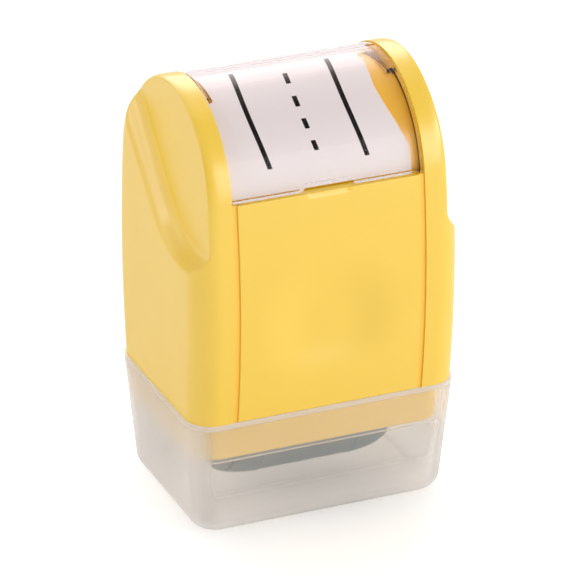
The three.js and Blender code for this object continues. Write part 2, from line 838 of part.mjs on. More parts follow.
function inkCore() {
  const outer = inkRollerRadius - foamThickness - fitGap;
  const inner = inkAxleRadius + runningGap;
  return tubeX(outer, inner, -inkRollerHalfWidth, inkRollerHalfWidth, inkRollerZ, smallSteps);
}

function inkAxle() {
  return rodX(inkAxleRadius, -plateOuterX, plateOuterX, 0, inkRollerZ, smallSteps);
}

function cartridgePlate(side) {
  const wingY = lipInnerY - seamGap;
  const neckY = inkRollerRadius + neckMargin;
  const footSpread = THREE.MathUtils.degToRad(80);
  const foot = arc(
    plateFootRadius, 0, axleZ, Math.PI - footSpread, Math.PI + footSpread, plateFootSteps
  );
  const outline = [
    ...foot,
    [wingY, plateWingBottomZ], [wingY, plateWingTopZ],
    [neckY, plateNeckZ], [neckY, plateTopZ],
    [-neckY, plateTopZ], [-neckY, plateNeckZ],
    [-wingY, plateWingTopZ], [-wingY, plateWingBottomZ]
  ];
  const fromX = side * (plateInnerX - overrun);
  const toX = side * (plateOuterX + overrun);
  const hole = (radius, z) => rodX(radius, fromX, toX, 0, z, smallSteps);
  return extrudeX(outline, side * plateInnerX, side * plateOuterX)
    .subtract(hole(axleRadius + runningGap, axleZ))
    .subtract(hole(inkAxleRadius + runningGap, inkRollerZ));
}

function cartridgeLip(side) {
  const outline = [
    [-plateOuterX, lipBottomZ], [plateOuterX, lipBottomZ],
    [plateOuterX, lipTopZ], [-plateOuterX, lipTopZ]
  ];
  return extrudeY(outline, side * lipInnerY, side * lipOuterY);
}

function inkTank() {
  const halfWidth = plateInnerX - seamGap;
  const halfDepth = inkRollerRadius + neckMargin - seamGap;
  const slotHalfLength = halfWidth - dripSlotEndMargin;
  const outer = box(-halfWidth, halfWidth, -halfDepth, halfDepth, tankBottomZ, tankTopZ);
  const hollow = box(
    tankWall - halfWidth, halfWidth - tankWall, tankWall - halfDepth, halfDepth - tankWall,
    tankBottomZ + tankWall, tankTopZ - tankWall
  );
  const slot = box(
    -slotHalfLength, slotHalfLength, -dripSlotHalfWidth, dripSlotHalfWidth,
    tankBottomZ - overrun, tankBottomZ + tankWall + overrun
  );
  const holeRadius = plugRadius + fitGap;
  const holeFromZ = tankTopZ - tankWall - overrun;
  const refillHole = rodUp(holeRadius, holeFromZ, tankTopZ + overrun, 0, 0, smallSteps);
  return outer.subtract(hollow).subtract(slot).subtract(refillHole);
}

function refillPlug() {
  const stemTopZ = plugHeadZ + plugHeadThickness / 2;
  const stem = rodUp(plugRadius, plugHeadZ - plugLength, stemTopZ, 0, 0, smallSteps);
  const headTopZ = plugHeadZ + plugHeadThickness;
  return stem.add(rodUp(plugHeadRadius, plugHeadZ, headTopZ, 0, 0, smallSteps));
}

const stamp = new THREE.Group();
stamp.add(
  meshOf("cap", cap(), frostedPlastic),
  meshOf("chassis", chassis(), yellowPlastic),
  meshOf("left_cheek", cheek(-1), yellowPlastic),
  meshOf("right_cheek", cheek(1), yellowPlastic),
  meshOf("front_panel", frontPanel(), yellowPlastic),
  meshOf("back_panel", panel(1), yellowPlastic),
  meshOf("label_bed", labelBed(), yellowPlastic),
  meshOf("label_card", labelCard(), whiteCard),
  meshOf("window_hood", windowHood(), clearPlastic),
  meshOf("front_tie_rod", tieRod(-rodY), steel),
  meshOf("back_tie_rod", tieRod(rodY), steel),
  meshOf("left_cartridge_plate", cartridgePlate(-1), whitePlastic),
  meshOf("right_cartridge_plate", cartridgePlate(1), whitePlastic),
  meshOf("front_cartridge_lip", cartridgeLip(-1), whitePlastic),
  meshOf("back_cartridge_lip", cartridgeLip(1), whitePlastic),
  meshOf("ink_tank", inkTank(), whitePlastic),
  meshOf("refill_plug", refillPlug(), greyRubber),
  meshOf("ink_foam_sleeve", inkSleeve(), darkFoam),
  meshOf("ink_roller_core", inkCore(), whitePlastic),
  meshOf("ink_roller_axle", inkAxle(), steel),
  meshOf("stamp_band", stampBand(), greyRubber),
  meshOf("roller_core", rollerCore(), greyPlastic),
  meshOf("left_roller_end_cap", rollerEndCap(-1), greyPlastic),
  meshOf("right_roller_end_cap", rollerEndCap(1), greyPlastic),
  meshOf("left_roller_bush", rollerBush(-1), whitePlastic),
  meshOf("right_roller_bush", rollerBush(1), whitePlastic),
  meshOf("roller_axle", rollerAxle(), steel),
  meshOf("left_axle_clip", axleClip(-1), steel),
  meshOf("right_axle_clip", axleClip(1), steel)
);

export default stamp;
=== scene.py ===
import math

import bmesh
import bpy
from mathutils import Matrix, Vector


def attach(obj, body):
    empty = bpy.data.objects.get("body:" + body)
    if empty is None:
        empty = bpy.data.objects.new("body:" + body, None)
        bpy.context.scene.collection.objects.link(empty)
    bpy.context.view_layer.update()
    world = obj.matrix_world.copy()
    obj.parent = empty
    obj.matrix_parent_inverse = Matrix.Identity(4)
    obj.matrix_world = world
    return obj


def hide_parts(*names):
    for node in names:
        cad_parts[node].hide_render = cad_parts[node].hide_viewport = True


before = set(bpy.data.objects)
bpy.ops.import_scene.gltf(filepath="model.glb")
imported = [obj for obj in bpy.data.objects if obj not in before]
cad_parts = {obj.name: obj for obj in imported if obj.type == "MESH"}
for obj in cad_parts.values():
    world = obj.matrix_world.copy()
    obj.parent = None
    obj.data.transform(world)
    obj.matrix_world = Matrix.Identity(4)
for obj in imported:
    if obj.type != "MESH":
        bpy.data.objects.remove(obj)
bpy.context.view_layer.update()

# Sizes are in millimetres, and a piece becomes metres when it is finished.
MM = 0.001

# Side outline of the body
ARCH_RADIUS = 17.302
ARCH_Z = 57.198
LEAN = math.radians(7.6)
FOOT_Z = 21.1
SPRING_Y = ARCH_RADIUS * math.cos(LEAN)
SPRING_Z = ARCH_Z + ARCH_RADIUS * math.sin(LEAN)
FACE_RADIUS = (SPRING_Z - FOOT_Z) / 2 / math.sin(LEAN)
FACE_Y = FACE_RADIUS * math.cos(LEAN) - SPRING_Y
FACE_Z = (SPRING_Z + FOOT_Z) / 2

# Cheeks
CHEEK_INNER_X = 16.65
CHEEK_X = 23.3
CHEEK_WALL = 1.7
CHEEK_EDGE = 4.5
CHEEK_FOOT_Z = 20.84
RECESS_DEPTH = 2.65
RECESS_SLOPE = 0.025
RECESS_WALL = 3.4
RECESS_EASE = 0.85
RECESS_FALL = 2.4
RECESS_Y = -12.1
RECESS_Z = 65.9
RECESS_RADIUS = 18.1
RECESS_RUN = math.radians(43.5)

# Edges that reach from the cheeks behind the panels, and the grooves' floors
TONGUE_X = 15.15
TONGUE_FAR_X = 17.6
TONGUE_DEPTH = 1.2
TONGUE_INNER = 1.8
GROOVE_X = 15.6
GROOVE_DEPTH = 0.3

# Panels
PANEL_X = 15.8
PANEL_TOP_Z = 59.1
PANEL_INNER_Y = 15.35
STEP_X = 14.85
STEP_THICKNESS = 0.9
DISH_Z = 36.3
DISH_X = 12.6
DISH_LOW = 9.6
DISH_HIGH = 13.0
DISH_DEPTH = 1.3
DISH_SIDE = 0.75
SCOOP_DEPTH = 0.3
SCOOP_HEIGHT = 0.7
SCOOP_SIDE = 0.35

# Window, card and bed
WINDOW_X = 16.35
WINDOW_OUTER = 17.1
WINDOW_INNER = 15.95
WINDOW_END_Z = 59.4
TAB_X = 15.5
TAB_INNER = 14.9
TAB_ANGLE = math.radians(17)
NOTCH_WIDE = 4.7
NOTCH_NARROW = 3.7
NOTCH_HEIGHT = 0.95
NOTCH_PULL = 4.0
CARD_OUTER = 15.65
CARD_INNER = 15.4
CARD_X = 15.0
CARD_LEFT_X = -16.1
CARD_END = math.radians(81.8)
# The card's right-hand edge: degrees from the top, and X
CARD_TRIM = [
    (0, 13.0), (14, 12.45), (27, 12.0), (36, 12.3), (44, 12.8), (59, 14.2), (67, CARD_X)]
BED_X = 16.6
SLOT_X = 15.2
SLOT_ANGLE = math.radians(18.3)
BED_OUTER = 15.1
BED_INNER = 13.5
BED_FOOT_Z = 47.8
POCKET_X = 14.6
POCKET_OUTER = 14.8
POCKET_INNER = 14.4
POCKET_ANGLE = SLOT_ANGLE + 0.03

# Lines printed on the card: X, and the degrees from the top where they begin and end
PRINT_HALF = 0.41
PRINT_BOW = 1.28
PRINT_DRIFT = 0.2
PRINTED_LINES = [
    (-9.3, -8.5, 67.3), (7.36, -8.5, 68.8), (-0.55, 3.6, 14.4), (-0.55, 25.0, 32.8),
    (-0.55, 41.0, 47.5), (-0.55, 54.9, 60.9)]

# Chassis and cap
CHASSIS_X = 21.3
CHASSIS_Y = 15.05
CHASSIS_FOOT_Z = 13.6
CHASSIS_TOP_Z = 47.5
CHASSIS_WALL = 1.4
CHASSIS_CORNER = 3.6
CAP_X = 23.7
CAP_Y = 17.25
CAP_Z = 20.8
CAP_DRAFT = 1.65
CAP_WALL = 1.2
CAP_CORNER = 4.6
CAP_FOOT = 2.6
SEAT_Z = 13.3
SEAT_WIDTH = 0.6
PIP_Z = 18.2
PIP_RADIUS = 0.9
PIP_HEIGHT = 0.25

# Print roller
AXLE_Z = 15.0
BAND_X = 13.3
BAND_INNER = 9.7
BAND_OUTER = 11.1
TAPER_X = 8.8
TAPER_DROP = 0.7
END_CAP_OUTER = 10.1
LINE_OUTER = 11.18
LINE_X = 8.4
LINE_HALF = 0.25
LINE_FLARE = 0.07
DASHES = 16
DASH_INNER = 11.02
DASH_SHARE = 0.42
BORE = 2.68
HUB_OUTER = 3.98
WEB_X = 0.8
SPOOL_INNER = 8.1
SPOOL_OUTER = 9.5
END_CAP_X = 13.6
END_CAP_FAR_X = 14.8
END_CAP_EDGE = 1.1

# Studio
FLOOR_LIFT = 0.3
LAMP_DISTANCE = 1.4

# Points closer than this are one point.
SAME = 0.0005
SHARP = math.radians(38)


# Nodes and colours

def linear(code):
    """An sRGB hex colour as linear RGBA."""
    channels = [int(code[i:i + 2], 16) / 255 for i in (1, 3, 5)]
    turned = [c / 12.92 if c <= 0.04045 else ((c + 0.055) / 1.055) ** 2.4 for c in channels]
    return (*turned, 1.0)


def every(size):
    """The scale at which a pattern repeats about every so many millimetres."""
    return 1 / (size * MM)


def add(tree, kind, inputs=None, **settings):
    """Adds a node. Each input is given a value, or is linked to another node's socket."""
    node = tree.nodes.new(kind)
    for name, value in settings.items():
        setattr(node, name, value)
    for name, value in (inputs or {}).items():
        if isinstance(value, bpy.types.NodeSocket):
            tree.links.new(value, node.inputs[name])
        else:
            node.inputs[name].default_value = value
    return node


def new_material(name):
    """An empty material and its tree."""
    material = bpy.data.materials.new(name)
    material.use_nodes = True
    material.node_tree.nodes.clear()
    return material, material.node_tree


def passing_light(tree, shader, tint):
    """A see-through shader that lets light from the lamps, or off a wall, reach what lies
    behind it."""
    passed = add(tree, "ShaderNodeBsdfTransparent", {"Color": linear(tint)})
    path = add(tree, "ShaderNodeLightPath")
    lighting = add(tree, "ShaderNodeMath", {
        0: path.outputs["Is Shadow Ray"], 1: path.outputs["Is Diffuse Ray"]},
        operation="MAXIMUM")
    surface = add(tree, "ShaderNodeMixShader", {
        0: lighting.outputs["Value"], 1: shader, 2: passed.outputs["BSDF"]})
    return surface.outputs["Shader"]


def moulded_abs(name, pale, deep, rough):
    """ABS, injection moulded in a spark-grained steel mould: opaque and satin, with soft
    highlights and a slight drift in colour where the melt flowed."""
    material, tree = new_material(name)
    place = add(tree, "ShaderNodeTexCoord").outputs["Object"]
    flow = add(tree, "ShaderNodeTexNoise", {"Vector": place, "Scale": every(14), "Detail": 2.0})
    colour = add(tree, "ShaderNodeMix", {
        0: flow.outputs["Fac"], 6: linear(deep), 7: linear(pale)}, data_type="RGBA")
    handled = add(tree, "ShaderNodeTexNoise", {"Vector": place, "Scale": every(4), "Detail": 4.0})
    satin = add(tree, "ShaderNodeMapRange", {
        "Value": handled.outputs["Fac"], "From Min": 0.3, "From Max": 0.7,
        "To Min": rough - 0.02, "To Max": rough + 0.02})
    # The real grain is about 0.05 mm across. It is drawn at 0.2 mm, so that it shows.
    grain = add(tree, "ShaderNodeTexNoise", {"Vector": place, "Scale": every(0.2), "Detail": 1.0})
    relief = add(tree, "ShaderNodeBump", {"Height": grain.outputs["Fac"], "Distance": 0.0003 * MM})
    shader = add(tree, "ShaderNodeBsdfPrincipled", {
        "Base Color": colour.outputs[2], "Roughness": satin.outputs["Result"],
        "Normal": relief.outputs["Normal"], "IOR": 1.54, "Specular IOR Level": 0.9})
    add(tree, "ShaderNodeOutputMaterial", {"Surface": shader.outputs["BSDF"]})
    return material


def frosted_polypropylene():
    """Natural polypropylene, moulded thin: a milky veil in front, through which what is
    close behind shows, and nearly opaque at the matt sides, the corners and the rim."""
    material, tree = new_material("moulded_natural_polypropylene")
    place = add(tree, "ShaderNodeTexCoord")
    cloud = add(tree, "ShaderNodeTexNoise", {
        "Vector": place.outputs["Object"], "Scale": every(8), "Detail": 3.0})
    colour = add(tree, "ShaderNodeMix", {
        0: cloud.outputs["Fac"], 6: linear("#e9e4e0"), 7: linear("#f0ece9")}, data_type="RGBA")
    ripple = add(tree, "ShaderNodeTexNoise", {
        "Vector": place.outputs["Object"], "Scale": every(6), "Detail": 1.0})
    relief = add(tree, "ShaderNodeBump", {"Height": ripple.outputs["Fac"], "Distance": 0.03 * MM})
    skin = add(tree, "ShaderNodeBsdfPrincipled", {
        "Base Color": colour.outputs[2], "Normal": relief.outputs["Normal"],
        "Roughness": 0.35, "IOR": 1.49})
    lit_through = add(tree, "ShaderNodeBsdfTranslucent", {"Color": colour.outputs[2]})
    milky = add(tree, "ShaderNodeMixShader", {
        0: 0.4, 1: skin.outputs["BSDF"], 2: lit_through.outputs["BSDF"]})
    clear = add(tree, "ShaderNodeBsdfPrincipled", {
        "Base Color": linear("#fbf9f7"), "Normal": relief.outputs["Normal"],
        "Roughness": 0.12, "IOR": 1.2, "Transmission Weight": 1.0})
    # The side walls and the corners are matt. The rim's band is painted more milky, so paler: a
    # painted highlight where the edge of the rim gathers the light.
    turned = add(tree, "ShaderNodeSeparateXYZ", {"Vector": place.outputs["Normal"]})
    sideways = add(tree, "ShaderNodeMath", {0: turned.outputs["X"]}, operation="ABSOLUTE")
    matt = add(tree, "ShaderNodeMapRange", {
        "Value": sideways.outputs["Value"], "From Min": 0.2, "From Max": 0.75},
        interpolation_type="SMOOTHSTEP")
    level = add(tree, "ShaderNodeSeparateXYZ", {"Vector": place.outputs["Object"]})
    rim = add(tree, "ShaderNodeMapRange", {
        "Value": level.outputs["Z"], "From Min": (CAP_Z - 1.1) * MM,
        "From Max": (CAP_Z - 0.7) * MM}, interpolation_type="SMOOTHSTEP")
    # A painted highlight on the band at the rim.
    painted_rim_highlight = add(tree, "ShaderNodeMath", {
        0: rim.outputs["Result"], 1: 0.85}, operation="MULTIPLY")
    # The wall is cloudier towards the foot, where it is thicker, and above the ledge. Towards the
    # foot it is also painted more milky, so paler: painted light for the light the foot catches off
    # the white floor.
    low = add(tree, "ShaderNodeMapRange", {
        "Value": level.outputs["Z"], "From Min": 1.5 * MM, "From Max": 8 * MM,
        "To Min": 0.85, "To Max": 0.18})
    high = add(tree, "ShaderNodeMapRange", {
        "Value": level.outputs["Z"], "From Min": SEAT_Z * MM, "From Max": (SEAT_Z + 0.5) * MM,
        "To Max": 0.24})
    front = add(tree, "ShaderNodeMath", {
        0: low.outputs["Result"], 1: high.outputs["Result"]}, operation="MAXIMUM")
    sided = add(tree, "ShaderNodeMapRange", {
        "Value": matt.outputs["Result"], "To Min": front.outputs["Value"], "To Max": 0.64})
    veil = add(tree, "ShaderNodeMath", {
        0: sided.outputs["Result"], 1: painted_rim_highlight.outputs["Value"]}, operation="MAXIMUM")
    wall = add(tree, "ShaderNodeMixShader", {
        0: veil.outputs["Value"], 1: clear.outputs["BSDF"], 2: milky.outputs["Shader"]})
    surface = passing_light(tree, wall.outputs["Shader"], "#f6f3ef")
    add(tree, "ShaderNodeOutputMaterial", {"Surface": surface})
    return material


def clear_polystyrene():
    """Clear polystyrene, moulded thin, polished, and faintly pink at its ends. It bends
    the light less than the real plastic, so that its edges stay as faint as they look."""
    material, tree = new_material("polished_clear_polystyrene")
    place = add(tree, "ShaderNodeTexCoord")
    flow = add(tree, "ShaderNodeTexNoise", {
        "Vector": place.outputs["Object"], "Scale": every(12), "Detail": 1.0})
    colour = add(tree, "ShaderNodeMix", {
        0: flow.outputs["Fac"], 6: linear("#fbf7f7"), 7: linear("#fefcfc")}, data_type="RGBA")
    # The end faces look down.
    turned = add(tree, "ShaderNodeSeparateXYZ", {"Vector": place.outputs["Normal"]})
    edged = add(tree, "ShaderNodeMapRange", {
        "Value": turned.outputs["Z"], "From Min": -0.4, "From Max": -0.9})
    tint = add(tree, "ShaderNodeMix", {
        0: edged.outputs["Result"], 6: colour.outputs[2], 7: linear("#c9b3b3")},
        data_type="RGBA")
    glass = add(tree, "ShaderNodeBsdfPrincipled", {
        "Base Color": tint.outputs[2], "Roughness": 0.02, "IOR": 1.15,
        "Transmission Weight": 1.0})
    surface = passing_light(tree, glass.outputs["BSDF"], "#f8f5f5")
    add(tree, "ShaderNodeOutputMaterial", {"Surface": surface})
    return material


def coated_card():
    """Coated card: smooth white clay coat, with a faint fibre mottle under it."""
    material, tree = new_material("coated_white_card")
    place = add(tree, "ShaderNodeTexCoord").outputs["Object"]
    fibre = add(tree, "ShaderNodeTexNoise", {"Vector": place, "Scale": every(0.6), "Detail": 4.0})
    colour = add(tree, "ShaderNodeMix", {
        0: fibre.outputs["Fac"], 6: linear("#eae6e5"), 7: linear("#efeceb")}, data_type="RGBA")
    relief = add(tree, "ShaderNodeBump", {"Height": fibre.outputs["Fac"], "Distance": 0.002 * MM})
    shader = add(tree, "ShaderNodeBsdfPrincipled", {
        "Base Color": colour.outputs[2], "Normal": relief.outputs["Normal"],
        "Roughness": 0.5, "IOR": 1.5})
    add(tree, "ShaderNodeOutputMaterial", {"Surface": shader.outputs["BSDF"]})
    return material


def printing_ink():
    """Offset printing ink, dried on the card: dense black, with a faint sheen."""
    material, tree = new_material("dried_black_printing_ink")
    place = add(tree, "ShaderNodeTexCoord").outputs["Object"]
    fibre = add(tree, "ShaderNodeTexNoise", {"Vector": place, "Scale": every(0.6), "Detail": 4.0})
    colour = add(tree, "ShaderNodeMix", {
        0: fibre.outputs["Fac"], 6: linear("#030303"), 7: linear("#080707")}, data_type="RGBA")
    shader = add(tree, "ShaderNodeBsdfPrincipled", {
        "Base Color": colour.outputs[2], "Roughness": 0.6, "IOR": 1.5,
        "Specular IOR Level": 0.1})
    add(tree, "ShaderNodeOutputMaterial", {"Surface": shader.outputs["BSDF"]})
    return material


def cured_rubber():
    """Grey vulcanised rubber, cured against polished metal: matt, with a fine dusty bloom."""
    material, tree = new_material("vulcanised_grey_rubber")
    place = add(tree, "ShaderNodeTexCoord").outputs["Object"]
    bloom = add(tree, "ShaderNodeTexNoise", {"Vector": place, "Scale": every(1.5), "Detail": 5.0})
    colour = add(tree, "ShaderNodeMix", {
        0: bloom.outputs["Fac"], 6: linear("#4b6675"), 7: linear("#57717f")}, data_type="RGBA")
    dull = add(tree, "ShaderNodeMapRange", {
        "Value": bloom.outputs["Fac"], "From Min": 0.3, "From Max": 0.7,
        "To Min": 0.5, "To Max": 0.68})
    relief = add(tree, "ShaderNodeBump", {"Height": bloom.outputs["Fac"], "Distance": 0.01 * MM})
    shader = add(tree, "ShaderNodeBsdfPrincipled", {
        "Base Color": colour.outputs[2], "Roughness": dull.outputs["Result"],
        "Normal": relief.outputs["Normal"], "IOR": 1.52})
    add(tree, "ShaderNodeOutputMaterial", {"Surface": shader.outputs["BSDF"]})
    return material


def inked_foam():
    """Open-cell foam soaked in ink: nearly black and wet, pitted by its cells."""
    material, tree = new_material("open_cell_foam_soaked_in_ink")
    place = add(tree, "ShaderNodeTexCoord").outputs["Object"]
    cells = add(tree, "ShaderNodeTexVoronoi", {"Vector": place, "Scale": every(0.6)})
    colour = add(tree, "ShaderNodeMix", {
        0: cells.outputs["Distance"], 6: linear("#121317"), 7: linear("#34363d")},
        data_type="RGBA")
    relief = add(tree, "ShaderNodeBump", {
        "Height": cells.outputs["Distance"], "Distance": 0.15 * MM}, invert=True)
    shader = add(tree, "ShaderNodeBsdfPrincipled", {
        "Base Color": colour.outputs[2], "Normal": relief.outputs["Normal"],
        "Roughness": 0.4, "IOR": 1.4})
    add(tree, "ShaderNodeOutputMaterial", {"Surface": shader.outputs["BSDF"]})
    return material


def drawn_steel():
    """Bright drawn steel wire: a hard shine, with fine scratches along its length."""
    material, tree = new_material("bright_drawn_steel_wire")
    place = add(tree, "ShaderNodeTexCoord").outputs["Object"]
    drawn = add(tree, "ShaderNodeMapping", {"Vector": place, "Scale": (0.04, 1.0, 1.0)})
    # Die scratches are finer than 0.05 mm. They are drawn at 0.2 mm, so that they show.
    lines = add(tree, "ShaderNodeTexNoise", {
        "Vector": drawn.outputs["Vector"], "Scale": every(0.2), "Detail": 2.0})
    colour = add(tree, "ShaderNodeMix", {
        0: lines.outputs["Fac"], 6: linear("#b2b4b7"), 7: linear("#c8cacd")}, data_type="RGBA")
    polish = add(tree, "ShaderNodeMapRange", {
        "Value": lines.outputs["Fac"], "From Min": 0.3, "From Max": 0.7,
        "To Min": 0.28, "To Max": 0.4})
    shader = add(tree, "ShaderNodeBsdfPrincipled", {
        "Base Color": colour.outputs[2], "Roughness": polish.outputs["Result"],
        "Metallic": 1.0})
    add(tree, "ShaderNodeOutputMaterial", {"Surface": shader.outputs["BSDF"]})
    return material


# Shaping

def finish(name, bm, body, material, nodes=(), edge=None, segments=2):
    """Makes a piece of a form in millimetres. It stands for the CAD nodes given, rides on a
    body, and has its edges eased by so many millimetres."""
    bmesh.ops.scale(bm, vec=(MM, MM, MM), verts=bm.verts)
    mesh = bpy.data.meshes.new(name)
    bm.to_mesh(mesh)
    bm.free()
    mesh.shade_smooth()
    mesh.set_sharp_from_angle(angle=SHARP)
    mesh.materials.append(material)
    piece = bpy.data.objects.new(name, mesh)
    bpy.context.scene.collection.objects.link(piece)
    if edge:
        bevel = piece.modifiers.new("eased edges", "BEVEL")
        bevel.width = edge * MM
        bevel.segments = segments
        bevel.limit_method = "ANGLE"
        bevel.angle_limit = SHARP
        bevel.harden_normals = True
    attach(piece, body)
    if nodes:
        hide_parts(*nodes)
    return piece


def join(bm, other):
    """Adds one form to another."""
    mesh = bpy.data.meshes.new("joined")
    other.to_mesh(mesh)
    other.free()
    bm.from_mesh(mesh)
    bpy.data.meshes.remove(mesh)


def moved_grid(columns, rows, place):
    """A grid of which each point goes to place(across, up), both from 0 to 1."""
    bm = bmesh.new()
    bmesh.ops.create_grid(bm, x_segments=columns, y_segments=rows, size=1.0)
    for vert in bm.verts:
        vert.co = Vector(place((vert.co.x + 1) / 2, (vert.co.y + 1) / 2))
    bmesh.ops.remove_doubles(bm, verts=bm.verts, dist=SAME)
    return bm


def cut(bm, point, normal, keep_front=True, keep_back=True):
    """Cuts a form with a plane. Where a side goes, the cut is closed."""
    made = bmesh.ops.bisect_plane(
        bm, geom=bm.verts[:] + bm.edges[:] + bm.faces[:], dist=0.0001, plane_co=point,
        plane_no=normal, clear_outer=not keep_front, clear_inner=not keep_back)
    if not (keep_front and keep_back):
        edges = [e for e in made["geom_cut"] if isinstance(e, bmesh.types.BMEdge)]
        bmesh.ops.holes_fill(bm, edges=edges, sides=0)


def faced_out(bm):
    """Merges doubles and points every face outwards."""
    bmesh.ops.remove_doubles(bm, verts=bm.verts, dist=SAME)
    bmesh.ops.recalc_face_normals(bm, faces=bm.faces)
    return bm


def spun(section, z, start, end, steps):
    """A closed section of (x, radius) points, spun about a line along X at a height. The
    angles run from the top towards the front. A whole turn closes on itself."""
    bm = bmesh.new()
    whole = abs(end - start - math.tau) < 0.0001
    verts = [bm.verts.new((x, 0, z + radius)) for x, radius in section]
    edges = [bm.edges.new(pair) for pair in zip(verts, verts[1:] + verts[:1])]
    sheet = [] if whole else [bm.faces.new(verts)]
    turn = Matrix.Rotation(start, 3, "X")
    bmesh.ops.rotate(bm, verts=verts, cent=(0, 0, z), matrix=turn)
    bmesh.ops.spin(
        bm, geom=verts + edges + sheet, cent=(0, 0, z), axis=(1, 0, 0), angle=end - start,
        steps=steps, use_merge=whole)
    return faced_out(bm)


def arc_place(vert, z):
    """Where a point lies about a line along X: its radius, and its angle from the top
    towards the front."""
    away = vert.co.z - z
    return math.hypot(vert.co.y, away), math.atan2(-vert.co.y, away)


def turn_to(vert, z, angle):
    """Moves a point round a line along X to an angle."""
    radius = arc_place(vert, z)[0]
    vert.co.y = -radius * math.sin(angle)
    vert.co.z = z + radius * math.cos(angle)


def steps_between(first, last, count):
    """Evenly spaced values, with both ends."""
    return [first + (last - first) * i / count for i in range(count + 1)]


def held(value, low, high):
    """A value kept between two others."""
    return min(max(value, low), high)


def eased(value):
    """A rise from 0 to 1 with soft ends."""
    value = held(value, 0.0, 1.0)
    return value * value * (3 - 2 * value)


def soft_min(a, b, width):
    """The smaller of two, rounded where they meet."""
    blend = max(width - abs(a - b), 0.0) / width
    return min(a, b) - blend * blend * width / 4


# Cheeks

def face_y(z, inset=0.0):
    """How far the front face stands out at a height."""
    return math.sqrt((FACE_RADIUS - inset) ** 2 - (z - FACE_Z) ** 2) - FACE_Y


def outline_places():
    """Places along the side outline, from the back foot over the arch to the front foot,
    with the inward direction and how far in the middle lies. It starts below the foot,
    so that the foot can be cut level."""
    places = []
    for angle in steps_between(LEAN + math.radians(1.5), -LEAN, 84):
        y = FACE_RADIUS * math.cos(angle) - FACE_Y
        z = FACE_Z - FACE_RADIUS * math.sin(angle)
        places.append((y, z, -math.cos(angle), math.sin(angle), y / math.cos(angle)))
    face = list(places)
    half = math.pi / 2 - LEAN
    for angle in steps_between(half, -half, 110)[1:-1]:
        y, z = ARCH_RADIUS * math.sin(angle), ARCH_Z + ARCH_RADIUS * math.cos(angle)
        places.append((y, z, -math.sin(angle), -math.cos(angle), ARCH_RADIUS))
    places += [(-y, z, -in_y, in_z, depth) for y, z, in_y, in_z, depth in reversed(face)]
    return places


def outline_inset(y, z):
    """How far a point lies inside the side outline."""
    if z - ARCH_Z > abs(y) * math.tan(LEAN):
        return ARCH_RADIUS - math.hypot(y, z - ARCH_Z)
    return FACE_RADIUS - math.hypot(abs(y) + FACE_Y, z - FACE_Z)


def recess_reach(y, z):
    """How far a point lies inside the scooped recess, from its lower edge: an arc that
    runs on straight towards the back."""
    away_y, away_z = y - RECESS_Y, z - RECESS_Z
    if math.atan2(away_y, -away_z) < RECESS_RUN:
        return RECESS_RADIUS - math.hypot(away_y, away_z)
    return RECESS_RADIUS - away_y * math.sin(RECESS_RUN) + away_z * math.cos(RECESS_RUN)


def recess_depth(y, z):
    """Depth of the recess. Its edge is rounded, its wall runs out softly into the floor,
    and the floor slopes inwards above the arch's centre."""
    reach = recess_reach(y, z)
    if reach < RECESS_EASE:
        reach = max(reach + RECESS_EASE, 0.0) ** 2 / (4 * RECESS_EASE)
    floor = RECESS_DEPTH + RECESS_SLOPE * max(z - ARCH_Z, 0.0)
    return floor * (1 - (1 - min(reach / RECESS_WALL, 1.0)) ** RECESS_FALL)


def cheek_x(y, z):
    """How far out a cheek's skin lies: rounded at the edge, and scooped by the recess."""
    edge = CHEEK_EDGE - held(outline_inset(y, z), 0.0, CHEEK_EDGE)
    rounded = CHEEK_X - CHEEK_EDGE + math.sqrt(CHEEK_EDGE ** 2 - edge ** 2)
    depth = recess_depth(y, z)
    return soft_min(rounded, CHEEK_X - depth, min(depth, 0.35)) if depth else rounded


def cheek_form(side):
    """One cheek: a skin over the outline, finer round the recess's wall, given its
    thickness and cut level at the foot."""
    places = outline_places()
    rim, rounded, flat = 3, 14, 50
    rows = rim + rounded + flat

    def place(along, up):
        y, z, in_y, in_z, depth = places[round(along * (len(places) - 1))]
        row = round(up * rows)
        if row < rim:
            reach = CHEEK_X - CHEEK_EDGE - CHEEK_INNER_X
            return (side * (CHEEK_INNER_X + reach * row / rim), y, z)
        if row <= rim + rounded:
            turn = math.pi / 2 * (row - rim) / rounded
            inset = CHEEK_EDGE * (1 - math.cos(turn))
        else:
            inset = CHEEK_EDGE + (depth - CHEEK_EDGE) * (row - rim - rounded) / flat
        y, z = y + in_y * inset, z + in_z * inset
        return (side * cheek_x(y, z), y, z)

    bm = moved_grid(len(places) - 1, rows, place)
    near = []
    for edge in bm.edges:
        middle = (edge.verts[0].co + edge.verts[1].co) / 2
        walled = -1.0 < recess_reach(middle.y, middle.z) < RECESS_WALL
        if walled and abs(middle.x) > CHEEK_X - CHEEK_EDGE:
            near.append(edge)
    bmesh.ops.subdivide_edges(bm, edges=near, cuts=1, use_grid_fill=True)
    for vert in bm.verts:
        if abs(vert.co.x) > CHEEK_X - CHEEK_EDGE + 0.01:
            vert.co.x = side * cheek_x(vert.co.y, vert.co.z)
    bmesh.ops.recalc_face_normals(bm, faces=bm.faces)
    bmesh.ops.solidify(bm, geom=bm.faces[:], thickness=CHEEK_WALL)
    cut(bm, (0, 0, CHEEK_FOOT_Z), (0, 0, 1), keep_back=False)
    return faced_out(bm)


